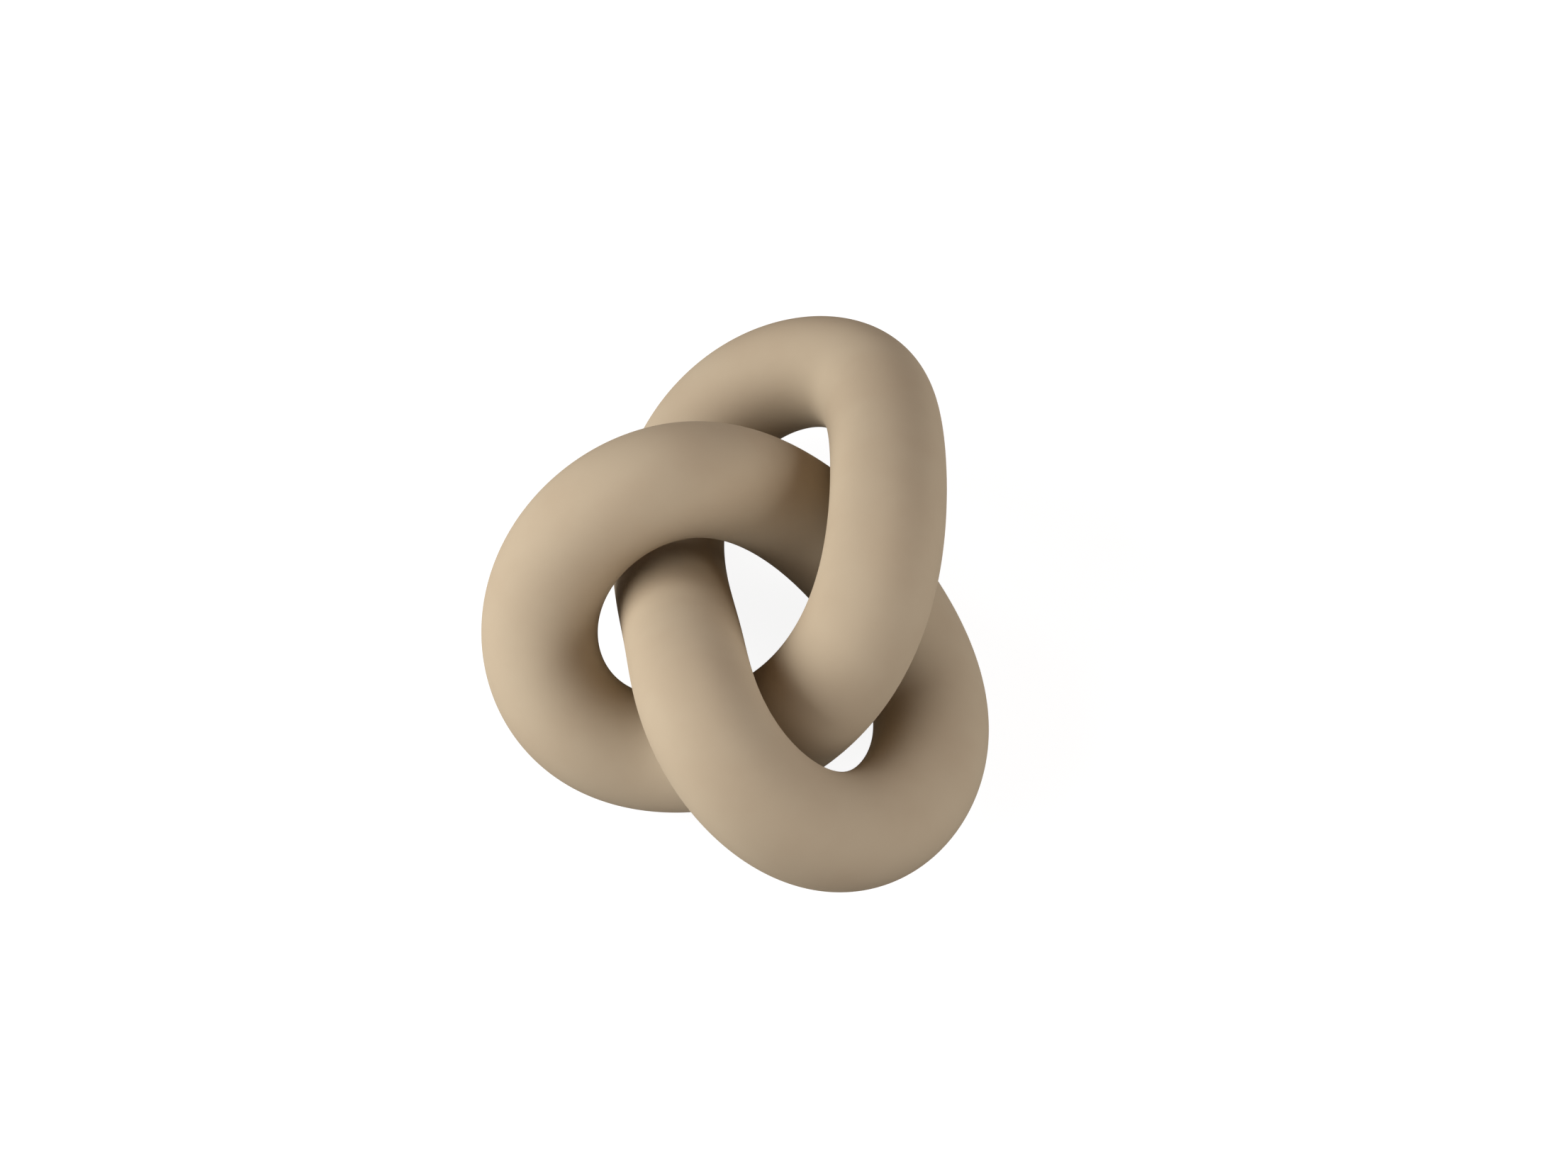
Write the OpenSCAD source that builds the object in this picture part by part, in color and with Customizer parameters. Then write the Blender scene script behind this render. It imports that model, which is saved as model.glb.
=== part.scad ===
// Knot sculpture: one round, hollow tube laid in a three-lobed knot.
// It is cast as three lobes, bonded end to end over sleeves in their bores,
// and lies on three felt pads. The origin is on the table, under the middle
// of the outline. +Z is up, and +Y points to the long rear lobe.

/* [Knot] */
// Outer diameter of the tube
tube_d = 36; // [30:0.5:44]
// Room between the strands across X, left by the three tubes that lie abreast there
room_w = 49.5; // [42:0.5:70]
// Room between the strands along Y, left by the four tubes that lie abreast there
room_l = 64; // [54:1:90]
// Least gap between two strands where they cross
strand_gap = 0.6; // [0.4:0.1:3]

/* [Cast lobes] */
// Wall of the hollow tube
wall = 4.5; // [3:0.5:7]
// Depth ground off the underside to seat a pad
ground_depth = 1.4; // [1:0.1:2]

/* [Joining sleeves] */
// Length of a sleeve along the tube
sleeve_len = 30; // [16:1:50]
// Wall of a sleeve
sleeve_wall = 3; // [2:0.5:4.5]
// Gap for the bonding paste between a sleeve and the bore
bond_gap = 0.3; // [0.2:0.1:0.6]

/* [Pads] */
// Diameter of a felt pad
pad_d = 10; // [6:0.5:12]
// Thickness of a felt pad
pad_t = 2; // [1:0.5:4]

/* [Hidden] */

clay = "#b8a58b";
sleeve_clay = "#93836d";
felt = "#6d6153";

// Plan of the centreline, seen from above: fifteen stations at equal turns,
// each as [x, y] in shares of the plan's half width and half length
plan_shares = [
    // rear lobe's tip, down its right side over the left lobe, under the front lobe
    [0.53, 0.96], [0.78, 0.49], [0.68, -0.29], [0.1, -0.57], [-0.58, -0.52],
    // left lobe's tip, over the rear lobe's foot, under its right side
    [-0.96, -0.25], [-0.7, 0.1], [-0.03, 0.3], [0.66, 0.19], [1, -0.39],
    // front lobe's tip, over the left lobe, under it towards the rear
    [0.77, -0.9], [0.17, -1], [-0.19, -0.56], [-0.32, 0.11], [-0.16, 0.84]
];
// Heights of the same stations, as shares of the climb
climb_shares = [
    0.46, 0.83, 1, 0.21, 0,
    0.34, 0.9, 0.84, 0.1, 0,
    0.24, 0.74, 0.92, 0.17, 0.06
];

lobes = 3;
lobe_turn = 360 / lobes;
// Turn at which the rear and left lobes are joined, out of sight under the front lobe
joint_turn = 78;
// Turn between two rings of a mesh, and sides of a ring
ring_turn = 3;
sides = 32;
// Turn between two points where the strands' distance is measured, and the
// turn within which two points belong to the same strand
sample_turn = 1.5;
strand_turn = 60;
// Turn either side of a point that gives its heading
probe_turn = 0.5;

// The curve through the stations is the smoothest periodic one: each station
// counts by sin(n x / 2) / (n sin(x / 2)), x being the turn from it.
stations = len(plan_shares);
function pull(x) =
    x % 360 == 0 ? 1 : sin(stations * x / 2) / (stations * sin(x / 2));
function pulls(turn) = [for (i = [0:stations - 1]) pull(turn - i * 360 / stations)];

sample_turns = [0:sample_turn:360 - sample_turn];
sample_plans = [for (turn = sample_turns) pulls(turn) * plan_shares];
sample_climbs = [for (turn = sample_turns) pulls(turn) * climb_shares];

// The plan is fitted to the overall width and length.
tubes_across = 3;
tubes_along = 4;
knot_w = tubes_across * tube_d + room_w;
knot_l = tubes_along * tube_d + room_l;
plan_low = [for (axis = [0:1]) min([for (p = sample_plans) p[axis]])];
plan_high = [for (axis = [0:1]) max([for (p = sample_plans) p[axis]])];
plan_mid = (plan_low + plan_high) / 2;
plan_size = [knot_w - tube_d, knot_l - tube_d];
function plan_mm(p) = [
    for (axis = [0:1]) (p[axis] - plan_mid[axis]) * plan_size[axis] / (plan_high[axis] - plan_low[axis])
];

// The climb is the least that keeps every two strands strand_gap apart.
clear_d = tube_d + strand_gap;
samples = len(sample_plans);
sample_mms = [for (p = sample_plans) plan_mm(p)];
strand_samples = strand_turn / sample_turn;
climb_needs = [
    for (i = [0:samples - 1])
    for (j = [i + strand_samples:1:min(samples - 1, i + samples - strand_samples)])
    let (across = sample_mms[i] - sample_mms[j], up = sample_climbs[i] - sample_climbs[j])
    if (across * across < clear_d * clear_d) (clear_d * clear_d - across * across) / (up * up)
];
climb = sqrt(max(climb_needs));

// The lowest points of the tube are ground flat, down to the pads. Each lobe
// has one, which lies in the last third of turns before the lobe's own.
climb_low = min(sample_climbs);
centre_low_z = pad_t + tube_d / 2 - ground_depth;
lobe_samples = samples / lobes;
function low_turn(index) =
    let (
        first = (index + lobes - 1) % lobes * lobe_samples,
        heights = [for (i = [first:first + lobe_samples - 1]) sample_climbs[i]]
    )
    (first + search(min(heights), heights)[0]) * sample_turn;

function centre(turn) =
    let (p = plan_mm(pulls(turn) * plan_shares), z = (pulls(turn) * climb_shares - climb_low) * climb)
    [p.x, p.y, z + centre_low_z];

// A ring stands square to the centreline. Its points start level, at one side.
function unit(v) = v / norm(v);
function heading(turn) = unit(centre(turn + probe_turn) - centre(turn - probe_turn));
function ring(turn, r) =
    let (along = heading(turn), level = unit(cross(along, [0, 0, 1])), upright = cross(level, along))
    [
        for (i = [0:sides - 1])
        let (angle = 360 * i / sides)
        centre(turn) + r * (cos(angle) * level + sin(angle) * upright)
    ];
function ground(points) = [for (p = points) [p.x, p.y, max(p.z, pad_t)]];

// A pipe between an outer and an inner stack of rings, closed by flat ends
module pipe(outer, inner) {
    rings = len(outer);
    skin = rings * sides;
    function at(start, i, j) = start + i * sides + j % sides;
    function quad(a, b, c, d) = [[a, b, c], [a, c, d]];
    walls = [
        for (i = [0:rings - 2])
        for (j = [0:sides - 1])
        each concat(
            quad(at(0, i, j), at(0, i, j + 1), at(0, i + 1, j + 1), at(0, i + 1, j)),
            quad(at(skin, i, j), at(skin, i + 1, j), at(skin, i + 1, j + 1), at(skin, i, j + 1))
        )
    ];
    ends = [
        for (j = [0:sides - 1])
        each concat(
            quad(at(0, 0, j), at(skin, 0, j), at(skin, 0, j + 1), at(0, 0, j + 1)),
            quad(at(0, rings - 1, j), at(0, rings - 1, j + 1), at(skin, rings - 1, j + 1), at(skin, rings - 1, j))
        )
    ];
    polyhedron(points = [for (r = concat(outer, inner)) each r], faces = concat(walls, ends));
}

bore_r = tube_d / 2 - wall;

// One cast lobe, from one joint to the next
module lobe(index) {
    turns = [
        for (turn = [0:ring_turn:lobe_turn])
        joint_turn + (index - 1) * lobe_turn + turn
    ];
    pipe(
        [for (turn = turns) ground(ring(turn, tube_d / 2))],
        [for (turn = turns) ring(turn, bore_r)]
    );
}

// Rings of a sleeve on one side of its joint: the bore's own rings, and an
// end ring set between two of them, so that the sleeve's length is exact
function sleeve_rings(turn, way, r, left) =
    let (step = norm(centre(turn + way * ring_turn) - centre(turn)))
    left > step
        ? concat([ring(turn, r)], sleeve_rings(turn + way * ring_turn, way, r, left - step))
        : let (here = ring(turn, r), there = ring(turn + way * ring_turn, r))
            [here, here + (there - here) * left / step];

function sleeve_stack(turn, r) =
    let (
        before = sleeve_rings(turn, -1, r, sleeve_len / 2),
        after = sleeve_rings(turn, 1, r, sleeve_len / 2)
    )
    concat([for (i = [len(before) - 1:-1:1]) before[i]], after);

// One sleeve, centred on the joint that the given lobe ends at
module sleeve(index) {
    turn = joint_turn + index * lobe_turn;
    pipe(
        sleeve_stack(turn, bore_r - bond_gap),
        sleeve_stack(turn, bore_r - bond_gap - sleeve_wall)
    );
}

// One pad, under the lowest point of the given lobe
module pad(index) {
    under = centre(low_turn(index));
    translate([under.x, under.y, 0]) cylinder(d = pad_d, h = pad_t, $fn = 48);
}

module rear_lobe() { color(clay) lobe(0); }
module left_lobe() { color(clay) lobe(1); }
module front_lobe() { color(clay) lobe(2); }
module rear_left_sleeve() { color(sleeve_clay) sleeve(0); }
module left_front_sleeve() { color(sleeve_clay) sleeve(1); }
module front_rear_sleeve() { color(sleeve_clay) sleeve(2); }
module rear_pad() { color(felt) pad(0); }
module left_pad() { color(felt) pad(1); }
module front_pad() { color(felt) pad(2); }

rear_lobe();
left_lobe();
front_lobe();
rear_left_sleeve();
left_front_sleeve();
front_rear_sleeve();
rear_pad();
left_pad();
front_pad();
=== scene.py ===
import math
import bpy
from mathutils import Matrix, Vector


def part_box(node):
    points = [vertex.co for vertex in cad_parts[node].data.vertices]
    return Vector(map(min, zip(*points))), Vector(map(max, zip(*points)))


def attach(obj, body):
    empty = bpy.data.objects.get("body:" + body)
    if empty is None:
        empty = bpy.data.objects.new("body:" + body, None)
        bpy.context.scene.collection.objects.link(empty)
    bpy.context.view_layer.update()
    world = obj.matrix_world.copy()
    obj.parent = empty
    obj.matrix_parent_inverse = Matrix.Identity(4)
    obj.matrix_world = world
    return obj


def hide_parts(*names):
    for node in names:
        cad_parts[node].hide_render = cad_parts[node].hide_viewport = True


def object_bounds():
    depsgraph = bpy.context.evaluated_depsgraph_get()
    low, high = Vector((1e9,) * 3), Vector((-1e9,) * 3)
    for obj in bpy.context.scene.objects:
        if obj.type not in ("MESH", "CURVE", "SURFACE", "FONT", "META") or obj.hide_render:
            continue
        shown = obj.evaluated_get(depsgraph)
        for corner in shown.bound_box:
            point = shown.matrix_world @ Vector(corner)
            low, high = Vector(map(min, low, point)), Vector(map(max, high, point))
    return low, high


bl_info = {
    "name": "Knot Sculpture",
    "version": (1, 0, 0),
    "blender": (4, 5, 0),
    "location": "3D View > Sidebar > Knot",
    "description": "Makes a hollow cast knot with joining sleeves and felt pads, and its studio",
    "category": "Object",
}

import bpy
import numpy as np
from mathutils import Vector

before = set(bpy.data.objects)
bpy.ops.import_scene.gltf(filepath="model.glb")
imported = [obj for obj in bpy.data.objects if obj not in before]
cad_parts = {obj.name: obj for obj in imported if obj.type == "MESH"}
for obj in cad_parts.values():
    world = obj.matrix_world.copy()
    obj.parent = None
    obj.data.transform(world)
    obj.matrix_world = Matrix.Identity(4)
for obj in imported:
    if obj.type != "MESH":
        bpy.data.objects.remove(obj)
CAD_LOW, CAD_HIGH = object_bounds()

# Plan of the centreline, as in the part's source: fifteen stations at equal
# turns, five to a lobe, as shares of the plan's half width and half length
PLAN_SHARES = np.array([
    (0.53, 0.96), (0.78, 0.49), (0.68, -0.29), (0.1, -0.57), (-0.58, -0.52),
    (-0.96, -0.25), (-0.7, 0.1), (-0.03, 0.3), (0.66, 0.19), (1.0, -0.39),
    (0.77, -0.9), (0.17, -1.0), (-0.19, -0.56), (-0.32, 0.11), (-0.16, 0.84),
])
# Heights of the stations as shares of the climb
CLIMB_SHARES = np.array([
    0.46, 0.83, 1.0, 0.21, 0.0,
    0.34, 0.9, 0.84, 0.1, 0.0,
    0.24, 0.74, 0.92, 0.17, 0.06,
])

MM = 0.001
WHITE = (1.0, 1.0, 1.0, 1.0)

# Turns are in degrees, along the centreline from its first station.
LOBES = 3
LOBE_TURN = 360 / LOBES
STATIONS = len(PLAN_SHARES)
# Turn between two points where the curve's reach is measured
SAMPLE_TURN = 1.5
# Turn either side of a point that gives the curve's heading and speed
PROBE_TURN = 0.25

# How finely the surfaces are drawn
ROUND_SIDES = 128
LOBE_RINGS = 220
BORE_RINGS = 110
GROOVE_RINGS = 6
SLEEVE_RINGS = 24
PAD_SIDES = 72
PAD_FACE_RINGS = 14
PAD_EDGE_RINGS = 8
# Edges where a surface turns by more than this stay sharp
SHARP_ANGLE = math.radians(40)
# Height over a ground flat up to which it is softened, as a share of the rounding
SOFT_SHARE = 4
# Length and depth of a sleeve's eased end, as a share of its wall
EASE_SHARE = 0.25

# Width that the focal length is given for, in mm
FRAME_WIDTH = 36.0
# Each sheet of light: turn from +X and elevation in degrees, width and height in metres
SHEETS = {
    "window": {"turn": 188, "elevation": 30, "width": 2.2, "height": 0.8},
    "side_sheet": {"turn": 0, "elevation": 30, "width": 0.9, "height": 0.8},
    "front_sheet": {"turn": 292, "elevation": 20, "width": 1.1, "height": 0.6},
}


def linear(hex_colour):
    """An sRGB hex value as linear red, green and blue."""
    parts = [int(hex_colour[i:i + 2], 16) / 255 for i in (1, 3, 5)]
    return tuple(c / 12.92 if c <= 0.04045 else ((c + 0.055) / 1.055) ** 2.4 for c in parts)


def pulls(turns):
    """Share of each station at each turn: sin(n x / 2) / (n sin(x / 2)), x being the turn from it.

    The curve through the stations is then the smoothest periodic one.
    """
    stations = np.radians(np.arange(STATIONS) * 360 / STATIONS)
    x = (np.radians(np.atleast_1d(turns))[:, None] - stations[None]) / 2
    below = np.sin(x)
    near = np.isclose(below, 0)
    return np.where(near, 1, np.sin(STATIONS * x) / np.where(near, 1, STATIONS * below))


def centreline(sizes, turns):
    """Points of the curve through the stations: each station counts by its share at the turn.

    The curve is scaled so that the tube round it fills the width, the length and the height.
    """
    table = np.column_stack([PLAN_SHARES, CLIMB_SHARES])
    samples = pulls(np.arange(0, 360, SAMPLE_TURN)) @ table
    low, high = samples.min(0), samples.max(0)
    radius = sizes.tube_diameter / 2
    base = sizes.pad_thickness + radius - sizes.ground_depth
    reach = np.array([
        sizes.width - sizes.tube_diameter,
        sizes.length - sizes.tube_diameter,
        sizes.height - radius - base,
    ])
    shares = (pulls(turns) @ table - low) / (high - low)
    start = np.array([-reach[0] / 2, -reach[1] / 2, base])
    return start + shares * reach


def unit(vectors):
    """Each vector over its own length."""
    return vectors / np.linalg.norm(vectors, axis=-1, keepdims=True)


def rings(sizes, turns, radii):
    """A circle of each radius round the centreline at each turn, and square to it there.

    A point is centre + radius (cos a level + sin a upright), a being its angle round the tube.
    """
    turns = np.asarray(turns, float)
    centre = centreline(sizes, turns)
    along = unit(centreline(sizes, turns + PROBE_TURN) - centreline(sizes, turns - PROBE_TURN))
    level = unit(np.cross(along, [0.0, 0.0, 1.0]))
    upright = np.cross(level, along)
    angle = np.linspace(0, 2 * np.pi, ROUND_SIDES, endpoint=False)[None, :, None]
    spoke = np.cos(angle) * level[:, None] + np.sin(angle) * upright[:, None]
    return centre[:, None] + np.asarray(radii, float)[:, None, None] * spoke


def turns_from(sizes, turn, lengths):
    """The turns that lie the given lengths along the curve from one turn, by its speed there."""
    ends = centreline(sizes, [turn - PROBE_TURN, turn + PROBE_TURN])
    speed = np.linalg.norm(ends[1] - ends[0]) / (2 * PROBE_TURN)
    return turn + np.asarray(lengths) / speed


def new_piece(name, mesh, material):
    """A piece in one material, smooth but for its sharp edges."""
    mesh.shade_smooth()
    mesh.set_sharp_from_angle(angle=SHARP_ANGLE)
    mesh.materials.append(material)
    piece = bpy.data.objects.new(name, mesh)
    bpy.context.scene.collection.objects.link(piece)
    return piece


def wrapped_piece(name, grid, material):
    """A closed surface from a grid of points whose rows and columns both run round."""
    rows, columns = grid.shape[:2]
    row = np.arange(rows)[:, None]
    column = np.arange(columns)[None, :]
    next_row = (row + 1) % rows
    next_column = (column + 1) % columns
    quads = np.stack([
        row * columns + column,
        next_row * columns + column,
        next_row * columns + next_column,
        row * columns + next_column,
    ], axis=-1).reshape(-1)
    mesh = bpy.data.meshes.new(name)
    mesh.vertices.add(rows * columns)
    mesh.vertices.foreach_set("co", grid.reshape(-1).astype(np.float32))
    mesh.loops.add(len(quads))
    mesh.loops.foreach_set("vertex_index", quads.astype(np.int32))
    mesh.polygons.add(rows * columns)
    mesh.polygons.foreach_set("loop_start", np.arange(0, len(quads), 4, dtype=np.int32))
    mesh.update(calc_edges=True)
    mesh.validate()
    return new_piece(name, mesh, material)


def stacked_piece(name, grid, material):
    """A closed surface from rings stacked from one middle to the other, with a face at each."""
    rows, columns = grid.shape[:2]
    row = np.arange(rows - 1)[:, None]
    column = np.arange(columns)[None, :]
    next_column = (column + 1) % columns
    quads = np.stack([
        row * columns + column,
        row * columns + next_column,
        (row + 1) * columns + next_column,
        (row + 1) * columns + column,
    ], axis=-1).reshape(-1, 4)
    first_end = list(range(columns))[::-1]
    last_end = list(range((rows - 1) * columns, rows * columns))
    mesh = bpy.data.meshes.new(name)
    mesh.from_pydata(grid.reshape(-1, 3).tolist(), [], quads.tolist() + [first_end, last_end])
    return new_piece(name, mesh, material)


def fit_piece(piece, body, slot_name, *nodes):
    """The piece rides on a body and stands for the nodes it replaces."""
    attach(piece, body)
    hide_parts(*nodes)


def add_node(tree, kind, settings=None, inputs=None, links=None):
    """A shader node of one kind, with its settings, its input values and what feeds its inputs."""
    node = tree.nodes.new(kind)
    for name, value in (settings or {}).items():
        setattr(node, name, value)
    for name, value in (inputs or {}).items():
        node.inputs[name].default_value = value
    for name, source in (links or {}).items():
        tree.links.new(source, node.inputs[name])
    return node


def new_material(name):
    """An empty node material and its tree."""
    material = bpy.data.materials.new(name)
    material.use_nodes = True
    material.node_tree.nodes.clear()
    return material, material.node_tree


def rgba(colour):
    """A colour with full alpha."""
    return (*colour, 1.0)


def object_noise(tree, size, detail=2.0, roughness=0.5, distortion=0.0):
    """Noise on Object coordinates, whose patches measure about the given size in metres."""
    place = add_node(tree, "ShaderNodeTexCoord")
    return add_node(
        tree, "ShaderNodeTexNoise",
        inputs={
            "Scale": 1 / size, "Detail": detail,
            "Roughness": roughness, "Distortion": distortion,
        },
        links={"Vector": place.outputs["Object"]},
    )


def matte_slip_material(finish):
    """Stoneware under a sprayed and rubbed slip.

    It is dead matt and even, with a faint cloudiness and a fine tooth.
    """
    material, tree = new_material("matte_slip_on_stoneware")
    cloud = object_noise(tree, finish.cloud_size, detail=3.0)
    cloud_share = add_node(
        tree, "ShaderNodeMapRange",
        inputs={"From Min": 0.35, "From Max": 0.65, "To Min": 0.0, "To Max": 1.0},
        links={"Value": cloud.outputs["Fac"]},
    )
    colour = add_node(
        tree, "ShaderNodeMix", settings={"data_type": "RGBA"},
        links={"Factor": cloud_share.outputs["Result"]},
    )
    colour.inputs["A"].default_value = rgba(finish.slip_colour)
    colour.inputs["B"].default_value = rgba(finish.slip_shade_colour)
    # The tooth of rubbed slip is 0.1 to 0.2 mm, drawn coarser so that it shows.
    tooth = object_noise(tree, finish.tooth_size, detail=4.0, roughness=0.6)
    bump = add_node(
        tree, "ShaderNodeBump",
        inputs={"Strength": 0.35, "Distance": finish.tooth_depth},
        links={"Height": tooth.outputs["Fac"]},
    )
    rough = add_node(
        tree, "ShaderNodeMapRange",
        inputs={"From Min": 0.3, "From Max": 0.7, "To Min": 0.82, "To Max": 0.94},
        links={"Value": tooth.outputs["Fac"]},
    )
    shader = add_node(
        tree, "ShaderNodeBsdfPrincipled",
        inputs={"IOR": 1.5, "Specular IOR Level": 0.05},
        links={
            "Base Color": colour.outputs["Result"],
            "Roughness": rough.outputs["Result"],
            "Normal": bump.outputs["Normal"],
        },
    )
    add_node(tree, "ShaderNodeOutputMaterial", links={"Surface": shader.outputs["BSDF"]})
    return material


def raw_stoneware_material(finish):
    """Unslipped, fired stoneware: darker and dry, with grog grains that show as pale specks."""
    material, tree = new_material("raw_stoneware")
    place = add_node(tree, "ShaderNodeTexCoord")
    grog = add_node(
        tree, "ShaderNodeTexVoronoi",
        inputs={"Scale": 1 / finish.grog_size, "Randomness": 1.0},
        links={"Vector": place.outputs["Object"]},
    )
    speck = add_node(
        tree, "ShaderNodeMapRange",
        inputs={"From Min": 0.12, "From Max": 0.3, "To Min": 1.0, "To Max": 0.0},
        links={"Value": grog.outputs["Distance"]},
    )
    colour = add_node(
        tree, "ShaderNodeMix", settings={"data_type": "RGBA"},
        links={"Factor": speck.outputs["Result"]},
    )
    colour.inputs["A"].default_value = rgba(finish.raw_colour)
    colour.inputs["B"].default_value = rgba(finish.grog_colour)
    bump = add_node(
        tree, "ShaderNodeBump",
        inputs={"Strength": 0.5, "Distance": finish.grog_depth},
        links={"Height": speck.outputs["Result"]},
    )
    shader = add_node(
        tree, "ShaderNodeBsdfPrincipled",
        inputs={
            "IOR": 1.5, "Roughness": 0.95, "Specular IOR Level": 0.2,
            "Diffuse Roughness": 0.8,
        },
        links={"Base Color": colour.outputs["Result"], "Normal": bump.outputs["Normal"]},
    )
    add_node(tree, "ShaderNodeOutputMaterial", links={"Surface": shader.outputs["BSDF"]})
    return material


def felt_material(finish):
    """Pressed wool felt: tangled fibres, soft and lightless, with a slight nap at its edges."""
    material, tree = new_material("pressed_felt")
    fibre = object_noise(tree, finish.fibre_size, detail=6.0, roughness=0.7, distortion=2.5)
    colour = add_node(
        tree, "ShaderNodeMix", settings={"data_type": "RGBA"},
        links={"Factor": fibre.outputs["Fac"]},
    )
    colour.inputs["A"].default_value = rgba(finish.felt_colour)
    colour.inputs["B"].default_value = rgba(finish.felt_light_colour)
    bump = add_node(
        tree, "ShaderNodeBump",
        inputs={"Strength": 0.8, "Distance": finish.fibre_depth},
        links={"Height": fibre.outputs["Fac"]},
    )
    shader = add_node(
        tree, "ShaderNodeBsdfPrincipled",
        inputs={
            "IOR": 1.5, "Roughness": 1.0, "Specular IOR Level": 0.1,
            "Sheen Weight": 0.3, "Sheen Roughness": 0.6,
        },
        links={"Base Color": colour.outputs["Result"], "Normal": bump.outputs["Normal"]},
    )
    add_node(tree, "ShaderNodeOutputMaterial", links={"Surface": shader.outputs["BSDF"]})
    return material


def plain_view(tree):
    """One for what the camera, a reflection or glass shows, and nought for the light on things."""
    path = add_node(tree, "ShaderNodeLightPath")
    share = path.outputs["Is Camera Ray"]
    for name in ("Is Glossy Ray", "Is Transmission Ray"):
        either = add_node(tree, "ShaderNodeMath", settings={"operation": "MAXIMUM"})
        tree.links.new(share, either.inputs[0])
        tree.links.new(path.outputs[name], either.inputs[1])
        share = either.outputs["Value"]
    return share


def floor_material(stage):
    """A board faced with matt white melamine: flat and even, with no gloss.

    The camera sees it near white with the object's shadow kept. A darker colour gives the
    light that it throws back on the object.
    """
    material, tree = new_material("matt_melamine_board")
    bounce = add_node(
        tree, "ShaderNodeBsdfPrincipled",
        inputs={
            "Base Color": rgba(stage.floor_colour),
            "Roughness": 0.9, "Specular IOR Level": 0.1,
        },
    )
    # Further out, where no shadow falls, the board turns plain white, so no horizon shows.
    place = add_node(tree, "ShaderNodeTexCoord")
    distance = add_node(
        tree, "ShaderNodeVectorMath", settings={"operation": "LENGTH"},
        links={"Vector": place.outputs["Object"]},
    )
    glow = add_node(
        tree, "ShaderNodeMapRange",
        inputs={
            "From Min": stage.shadow_reach, "From Max": 3 * stage.shadow_reach,
            "To Min": stage.floor_glow, "To Max": 1.0,
        },
        links={"Value": distance.outputs["Value"]},
    )
    seen = add_node(
        tree, "ShaderNodeBsdfPrincipled",
        inputs={
            "Base Color": rgba(stage.floor_seen_colour), "Emission Color": WHITE,
            "Roughness": 1.0, "Specular IOR Level": 0.0,
        },
        links={"Emission Strength": glow.outputs["Result"]},
    )
    mixed = add_node(tree, "ShaderNodeMixShader", links={"Fac": plain_view(tree)})
    tree.links.new(bounce.outputs["BSDF"], mixed.inputs[1])
    tree.links.new(seen.outputs["BSDF"], mixed.inputs[2])
    add_node(tree, "ShaderNodeOutputMaterial", links={"Surface": mixed.outputs["Shader"]})
    return material


class KnotSizes(bpy.types.PropertyGroup):
    """Sizes of the knot, as in the part's source."""

    width: bpy.props.FloatProperty(
        name="Width", description="Overall width across X",
        default=CAD_HIGH.x - CAD_LOW.x, unit="LENGTH",
    )
    length: bpy.props.FloatProperty(
        name="Length", description="Overall length along Y",
        default=CAD_HIGH.y - CAD_LOW.y, unit="LENGTH",
    )
    height: bpy.props.FloatProperty(
        name="Height", description="Height over the table",
        default=CAD_HIGH.z, unit="LENGTH",
    )
    tube_diameter: bpy.props.FloatProperty(
        name="Tube", description="Outer diameter of the tube",
        default=36 * MM, unit="LENGTH",
    )
    wall: bpy.props.FloatProperty(
        name="Wall", description="Wall of the hollow lobes",
        default=4.5 * MM, unit="LENGTH",
    )
    ground_depth: bpy.props.FloatProperty(
        name="Ground Depth", description="Depth ground off the underside",
        default=1.4 * MM, unit="LENGTH",
    )
    ground_round: bpy.props.FloatProperty(
        name="Ground Round", description="Softness of the ground edge",
        default=0.25 * MM, unit="LENGTH",
    )
    joint_turn: bpy.props.FloatProperty(
        name="Joint", description="Turn of the joint between the rear and left lobes",
        subtype="ANGLE", default=math.radians(78),
    )
    lip_depth: bpy.props.FloatProperty(
        name="Lip Depth", description="Depth of the filled groove at a joint",
        default=0.1 * MM, unit="LENGTH",
    )
    lip_width: bpy.props.FloatProperty(
        name="Lip Width", description="Half width of the groove at a joint",
        default=0.4 * MM, unit="LENGTH",
    )
    sleeve_length: bpy.props.FloatProperty(
        name="Sleeve", description="Length of a sleeve along the tube",
        default=30 * MM, unit="LENGTH",
    )
    sleeve_wall: bpy.props.FloatProperty(
        name="Sleeve Wall", description="Wall of a sleeve",
        default=3 * MM, unit="LENGTH",
    )
    bond_gap: bpy.props.FloatProperty(
        name="Bond Gap", description="Gap for paste round a sleeve",
        default=0.3 * MM, unit="LENGTH",
    )
    pad_thickness: bpy.props.FloatProperty(
        name="Pad Thickness", description="Thickness of a felt pad",
        default=2 * MM, unit="LENGTH",
    )
    pad_edge: bpy.props.FloatProperty(
        name="Pad Edge", description="Rounding of a felt pad's edges",
        default=0.35 * MM, unit="LENGTH",
    )


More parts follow.
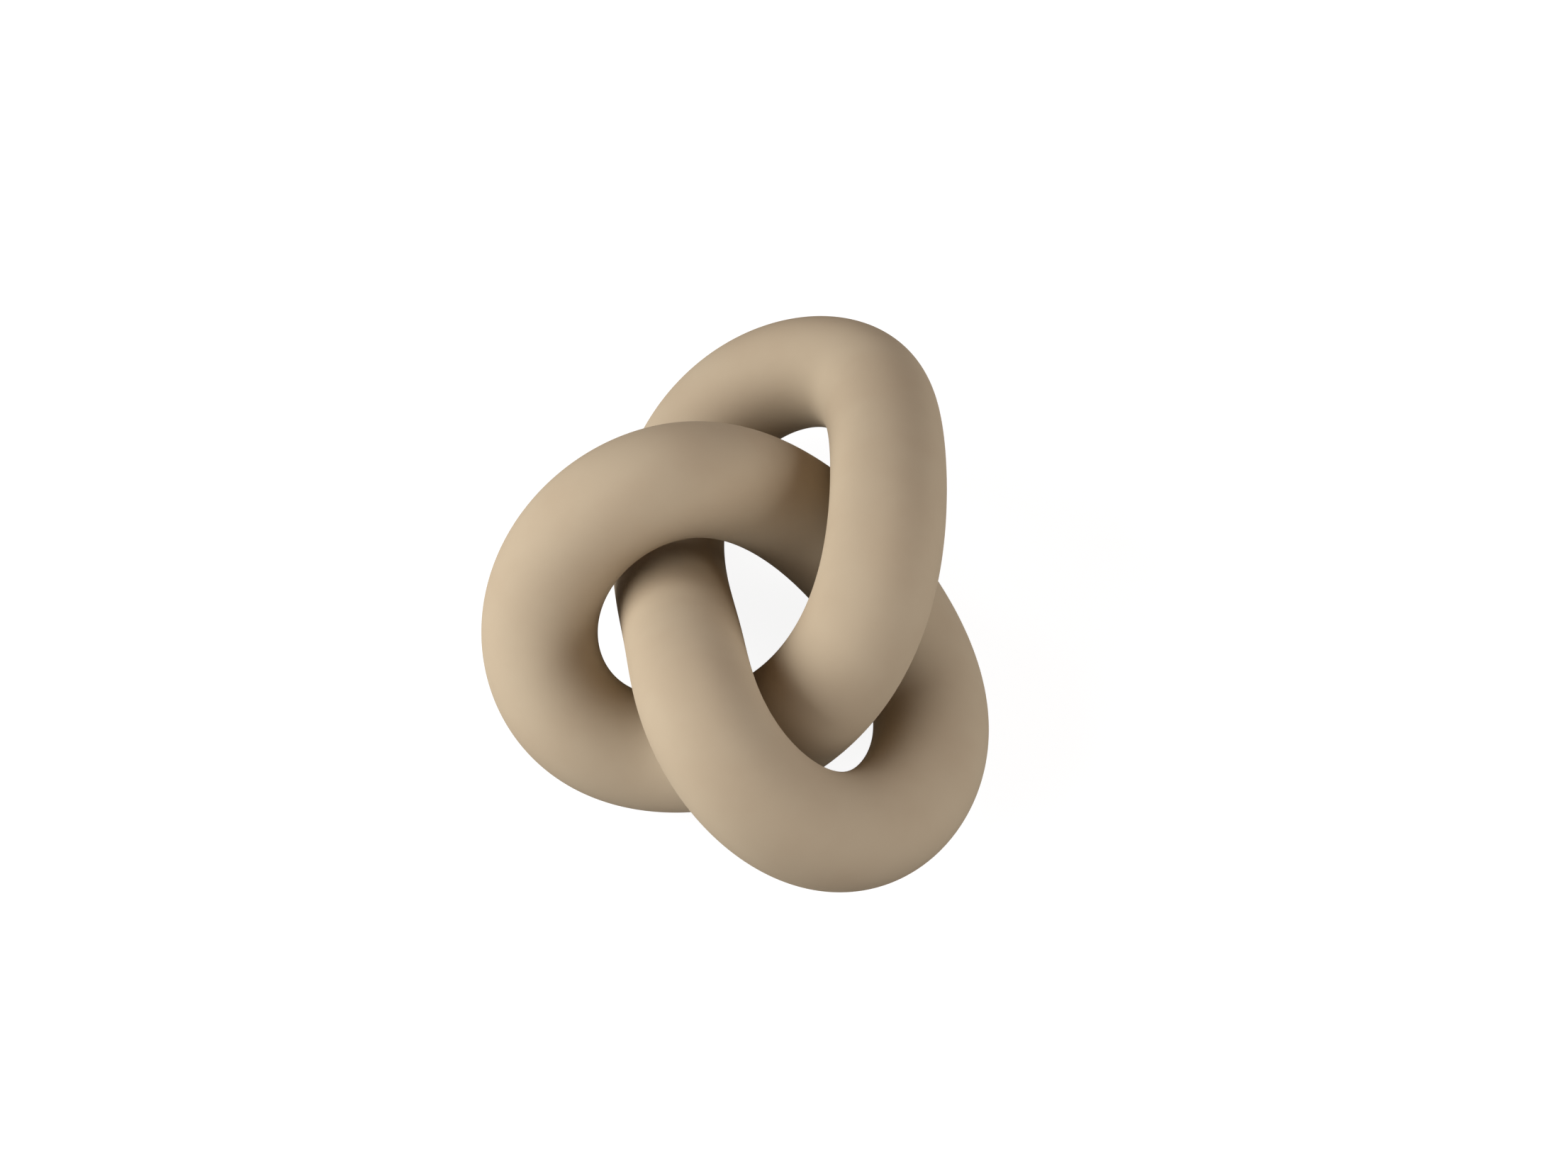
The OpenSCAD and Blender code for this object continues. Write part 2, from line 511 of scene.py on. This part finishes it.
class KnotFinish(bpy.types.PropertyGroup):
    """Colours and grain of the finishes."""

    slip_colour: bpy.props.FloatVectorProperty(
        name="Slip", description="Colour of the slip",
        subtype="COLOR", default=linear("#b7a890"),
    )
    slip_shade_colour: bpy.props.FloatVectorProperty(
        name="Slip Shade", description="Colour of its fainter clouds",
        subtype="COLOR", default=linear("#b4a48c"),
    )
    cloud_size: bpy.props.FloatProperty(
        name="Clouds", description="Size of the clouds in the slip",
        default=22 * MM, unit="LENGTH",
    )
    tooth_size: bpy.props.FloatProperty(
        name="Tooth", description="Size of the slip's tooth",
        default=0.6 * MM, unit="LENGTH",
    )
    tooth_depth: bpy.props.FloatProperty(
        name="Tooth Depth", description="Depth of the slip's tooth",
        default=0.02 * MM, unit="LENGTH",
    )
    raw_colour: bpy.props.FloatVectorProperty(
        name="Raw Clay", description="Colour of the unslipped clay",
        subtype="COLOR", default=linear("#93836d"),
    )
    grog_colour: bpy.props.FloatVectorProperty(
        name="Grog", description="Colour of the grog specks",
        subtype="COLOR", default=linear("#b9aa92"),
    )
    grog_size: bpy.props.FloatProperty(
        name="Grog Spacing", description="Distance between two grog grains",
        default=0.9 * MM, unit="LENGTH",
    )
    grog_depth: bpy.props.FloatProperty(
        name="Grog Height", description="Height that a grain stands proud",
        default=0.08 * MM, unit="LENGTH",
    )
    felt_colour: bpy.props.FloatVectorProperty(
        name="Felt", description="Colour of the felt",
        subtype="COLOR", default=linear("#5f5447"),
    )
    felt_light_colour: bpy.props.FloatVectorProperty(
        name="Felt Fibres", description="Colour of its lighter fibres",
        subtype="COLOR", default=linear("#85786a"),
    )
    fibre_size: bpy.props.FloatProperty(
        name="Fibre Tangle", description="Size of a tangle of fibres",
        default=0.45 * MM, unit="LENGTH",
    )
    fibre_depth: bpy.props.FloatProperty(
        name="Fibre Depth", description="Depth between the felt's fibres",
        default=0.15 * MM, unit="LENGTH",
    )


class KnotStage(bpy.types.PropertyGroup):
    """The tabletop, the light and the camera."""

    camera_elevation: bpy.props.FloatProperty(
        name="Elevation", description="Camera's height over the horizon",
        subtype="ANGLE", default=math.radians(57.871),
    )
    camera_distance: bpy.props.FloatProperty(
        name="Distance", description="Camera's distance from the origin, along its view",
        default=1.1191, unit="LENGTH",
    )
    camera_side: bpy.props.FloatProperty(
        name="Side Step", description="Camera's step to the right",
        default=14.96 * MM, unit="LENGTH",
    )
    camera_rise: bpy.props.FloatProperty(
        name="Rise", description="Camera's step up, square to its view",
        default=23.86 * MM, unit="LENGTH",
    )
    focal_length: bpy.props.FloatProperty(
        name="Focal Length", description="Focal length on a 36 mm wide frame, in mm",
        default=79.79,
    )
    window_strength: bpy.props.FloatProperty(
        name="Window", description="Light on a facing surface, 1 being white, if it were small",
        default=1.72,
    )
    side_strength: bpy.props.FloatProperty(
        name="Side Sheet", description="The same for the sheet at the right",
        default=0.55,
    )
    front_strength: bpy.props.FloatProperty(
        name="Front Sheet", description="The same for the low sheet in front",
        default=0.2,
    )
    light_distance: bpy.props.FloatProperty(
        name="Light Distance", description="From the origin to each light",
        default=1.4, unit="LENGTH",
    )
    room_strength: bpy.props.FloatProperty(
        name="Room", description="Light that the room gives, 1 being white",
        default=0.08,
    )
    room_colour: bpy.props.FloatVectorProperty(
        name="Room Colour", description="Colour of the room's light",
        subtype="COLOR", default=linear("#ffb496"),
    )
    floor_colour: bpy.props.FloatVectorProperty(
        name="Tabletop", description="Colour that lights the object from below",
        subtype="COLOR", default=linear("#7c7a78"),
    )
    floor_seen_colour: bpy.props.FloatVectorProperty(
        name="Tabletop Seen", description="Colour that takes the shadow",
        subtype="COLOR", default=linear("#808080"),
    )
    floor_glow: bpy.props.FloatProperty(
        name="Tabletop White", description="Glow that the shadow falls on, 1 being white",
        default=0.9,
    )
    shadow_reach: bpy.props.FloatProperty(
        name="Shadow Reach", description="From the origin to where the board starts to turn white",
        default=0.3, unit="LENGTH",
    )
    floor_side: bpy.props.FloatProperty(
        name="Tabletop Side", description="Side of the square tabletop",
        default=6.0, unit="LENGTH",
    )


def turn_of_joint(sizes, index):
    """Turn of the joint that a lobe ends at."""
    return math.degrees(sizes.joint_turn) + index * LOBE_TURN


def skin_rings(sizes, start, end):
    """Turns and radii of a lobe's skin: even rings, and finer ones down into each joint's groove.

    The groove's depth falls off as the square of the share of its half width that is left.
    """
    radius = sizes.tube_diameter / 2
    steps = np.linspace(0, 1, GROOVE_RINGS)
    dips = sizes.lip_depth * (1 - steps) ** 2
    first = turns_from(sizes, start, steps * sizes.lip_width)
    last = turns_from(sizes, end, -steps[::-1] * sizes.lip_width)
    middle = np.linspace(first[-1], last[0], LOBE_RINGS)[1:-1]
    turns = np.concatenate([first, middle, last])
    radii = np.concatenate([radius - dips, np.full(len(middle), radius), radius - dips[::-1]])
    return turns, radii


def ground_flat(sizes, points):
    """Points below the pads' tops are lifted to them, with a soft edge.

    A depth d becomes (d + sqrt(d d + w w)) / 2, w being the rounding.
    """
    depth = points[..., 2] - sizes.pad_thickness
    softened = (depth + np.sqrt(depth ** 2 + sizes.ground_round ** 2)) / 2
    near = depth < SOFT_SHARE * sizes.ground_round
    points[..., 2] = np.where(near, sizes.pad_thickness + softened, points[..., 2])
    return points


def make_lobe(sizes, index, node, material):
    """One cast lobe: its skin runs from joint to joint, and its bore comes back inside."""
    start = turn_of_joint(sizes, index - 1)
    end = start + LOBE_TURN
    turns, radii = skin_rings(sizes, start, end)
    skin = ground_flat(sizes, rings(sizes, turns, radii))
    bore_radius = sizes.tube_diameter / 2 - sizes.wall
    bore_turns = np.linspace(end, start, BORE_RINGS)
    bore = rings(sizes, bore_turns, np.full(BORE_RINGS, bore_radius))
    piece = wrapped_piece(node + "_cast", np.concatenate([skin, bore]), material)
    fit_piece(piece, "root", "matte_stoneware", node)


def make_sleeve(sizes, index, node, material):
    """One sleeve: a short pipe along the centreline, centred on its joint, with eased ends."""
    outer = sizes.tube_diameter / 2 - sizes.wall - sizes.bond_gap
    inner = outer - sizes.sleeve_wall
    ease = EASE_SHARE * sizes.sleeve_wall
    half = sizes.sleeve_length / 2
    even = np.linspace(-half + ease, half - ease, SLEEVE_RINGS)
    along = np.concatenate([[-half], even, [half]])
    radii = np.full(len(along), outer)
    radii[[0, -1]] = outer - ease
    turns = turns_from(sizes, turn_of_joint(sizes, index), along)
    skin = rings(sizes, turns, radii)
    bore = rings(sizes, turns[::-1], np.full(len(along), inner))
    piece = wrapped_piece(node + "_cast", np.concatenate([skin, bore]), material)
    fit_piece(piece, "root", "raw_stoneware", node)


def make_pad(sizes, node, material):
    """One felt pad: a rounded outline turned about its own upright axis, closed at its middle."""
    low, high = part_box(node)
    middle = (low + high) / 2
    radius = (high.x - low.x) / 2
    edge = sizes.pad_edge
    inside = radius - edge
    corner = np.linspace(0, np.pi / 2, PAD_EDGE_RINGS)
    out, up = edge * np.sin(corner), edge * np.cos(corner)
    bottom = np.column_stack([inside + out, low.z + edge - up])
    top = np.column_stack([inside + up, high.z - edge + out])
    rim = np.concatenate([bottom, top])
    face = np.linspace(0, inside, PAD_FACE_RINGS)[1:-1]
    under = np.column_stack([face, np.full(len(face), low.z)])
    over = np.column_stack([face[::-1], np.full(len(face), high.z)])
    outline = np.concatenate([under, rim, over])
    angle = np.linspace(0, 2 * np.pi, PAD_SIDES, endpoint=False)
    grid = np.stack([
        middle.x + outline[:, :1] * np.cos(angle),
        middle.y + outline[:, :1] * np.sin(angle),
        np.broadcast_to(outline[:, 1:], (len(outline), len(angle))),
    ], axis=-1)
    piece = stacked_piece(node + "_felt", grid, material)
    fit_piece(piece, "root", "felt", node)


class KNOT_OT_lobes(bpy.types.Operator):
    """Make the three hollow cast lobes"""

    bl_idname = "knot.lobes"
    bl_label = "Cast Lobes"

    def execute(self, context):
        material = matte_slip_material(context.scene.knot_finish)
        for index, node in enumerate(("rear_lobe", "left_lobe", "front_lobe")):
            make_lobe(context.scene.knot_sizes, index, node, material)
        return {"FINISHED"}


class KNOT_OT_sleeves(bpy.types.Operator):
    """Make the three joining sleeves in the bore"""

    bl_idname = "knot.sleeves"
    bl_label = "Joining Sleeves"

    def execute(self, context):
        material = raw_stoneware_material(context.scene.knot_finish)
        nodes = ("rear_left_sleeve", "left_front_sleeve", "front_rear_sleeve")
        for index, node in enumerate(nodes):
            make_sleeve(context.scene.knot_sizes, index, node, material)
        return {"FINISHED"}


class KNOT_OT_pads(bpy.types.Operator):
    """Make the three felt pads"""

    bl_idname = "knot.pads"
    bl_label = "Felt Pads"

    def execute(self, context):
        material = felt_material(context.scene.knot_finish)
        for node in ("rear_pad", "left_pad", "front_pad"):
            make_pad(context.scene.knot_sizes, node, material)
        return {"FINISHED"}


class KNOT_OT_stage(bpy.types.Operator):
    """Set up the tabletop, the light and the camera"""

    bl_idname = "knot.stage"
    bl_label = "Tabletop and Camera"

    def execute(self, context):
        stage = context.scene.knot_stage
        make_floor(stage)
        make_sheet(stage, "window", stage.window_strength)
        make_sheet(stage, "side_sheet", stage.side_strength)
        make_sheet(stage, "front_sheet", stage.front_strength)
        make_room(stage)
        make_camera(stage)
        context.scene.view_settings.view_transform = "Standard"
        return {"FINISHED"}


def make_floor(stage):
    """One square of tabletop under the pads."""
    half = stage.floor_side / 2
    mesh = bpy.data.meshes.new("tabletop")
    corners = [(-half, -half, 0), (half, -half, 0), (half, half, 0), (-half, half, 0)]
    mesh.from_pydata(corners, [], [(0, 1, 2, 3)])
    mesh.materials.append(floor_material(stage))
    floor = bpy.data.objects.new("tabletop", mesh)
    bpy.context.scene.collection.objects.link(floor)


def make_sheet(stage, name, strength):
    """One soft sheet of light that faces the origin."""
    layout = SHEETS[name]
    turn = math.radians(layout["turn"])
    elevation = math.radians(layout["elevation"])
    level = math.cos(elevation)
    direction = Vector((level * math.cos(turn), level * math.sin(turn), math.sin(elevation)))
    lamp = bpy.data.lights.new(name, "AREA")
    lamp.shape = "RECTANGLE"
    lamp.size = layout["width"]
    lamp.size_y = layout["height"]
    # A small lamp of this power lights a facing surface by just its strength, a wide one by less.
    lamp.energy = strength * math.pi ** 2 * stage.light_distance ** 2
    sheet = bpy.data.objects.new(name, lamp)
    sheet.location = direction * stage.light_distance
    sheet.rotation_euler = direction.to_track_quat("Z", "Y").to_euler()
    bpy.context.scene.collection.objects.link(sheet)


def make_room(stage):
    """An even, faint and warm room, which the camera sees as plain white."""
    world = bpy.data.worlds.new("room")
    world.use_nodes = True
    tree = world.node_tree
    tree.nodes.clear()
    lit = add_node(
        tree, "ShaderNodeBackground",
        inputs={"Color": rgba(stage.room_colour), "Strength": stage.room_strength},
    )
    seen = add_node(
        tree, "ShaderNodeBackground",
        inputs={"Color": WHITE, "Strength": 1.0},
    )
    mixed = add_node(tree, "ShaderNodeMixShader", links={"Fac": plain_view(tree)})
    tree.links.new(lit.outputs["Background"], mixed.inputs[1])
    tree.links.new(seen.outputs["Background"], mixed.inputs[2])
    add_node(tree, "ShaderNodeOutputWorld", links={"Surface": mixed.outputs["Shader"]})
    bpy.context.scene.world = world


def make_camera(stage):
    """The photograph's view: level, looking down along +Y from its elevation."""
    back = np.array([0, -math.cos(stage.camera_elevation), math.sin(stage.camera_elevation)])
    upward = np.array([0, math.sin(stage.camera_elevation), math.cos(stage.camera_elevation)])
    aside = np.array([stage.camera_side, 0, 0])
    place = back * stage.camera_distance + upward * stage.camera_rise + aside
    lens = bpy.data.cameras.new("camera")
    lens.lens = stage.focal_length
    lens.sensor_width = FRAME_WIDTH
    camera = bpy.data.objects.new("camera", lens)
    camera.location = tuple(place)
    camera.rotation_euler = (math.pi / 2 - stage.camera_elevation, 0, 0)
    bpy.context.scene.collection.objects.link(camera)
    bpy.context.scene.camera = camera


class KNOT_PT_panel(bpy.types.Panel):
    """The steps of the knot, in the sidebar"""

    bl_idname = "KNOT_PT_panel"
    bl_label = "Knot Sculpture"
    bl_space_type = "VIEW_3D"
    bl_region_type = "UI"
    bl_category = "Knot"

    def draw(self, context):
        scene = context.scene
        for group in (scene.knot_sizes, scene.knot_finish, scene.knot_stage):
            box = self.layout.box()
            for name in group.bl_rna.properties.keys():
                if name not in ("rna_type", "name"):
                    box.prop(group, name)
        for operator in (KNOT_OT_lobes, KNOT_OT_sleeves, KNOT_OT_pads, KNOT_OT_stage):
            self.layout.operator(operator.bl_idname)


CLASSES = (
    KnotSizes, KnotFinish, KnotStage,
    KNOT_OT_lobes, KNOT_OT_sleeves, KNOT_OT_pads, KNOT_OT_stage, KNOT_PT_panel,
)


def register():
    for item in CLASSES:
        bpy.utils.register_class(item)
    bpy.types.Scene.knot_sizes = bpy.props.PointerProperty(type=KnotSizes)
    bpy.types.Scene.knot_finish = bpy.props.PointerProperty(type=KnotFinish)
    bpy.types.Scene.knot_stage = bpy.props.PointerProperty(type=KnotStage)


def unregister():
    del bpy.types.Scene.knot_stage
    del bpy.types.Scene.knot_finish
    del bpy.types.Scene.knot_sizes
    for item in reversed(CLASSES):
        bpy.utils.unregister_class(item)


def main():
    register()
    bpy.ops.knot.stage()
    bpy.ops.knot.lobes()
    bpy.ops.knot.sleeves()
    bpy.ops.knot.pads()


if __name__ == "__main__":
    main()
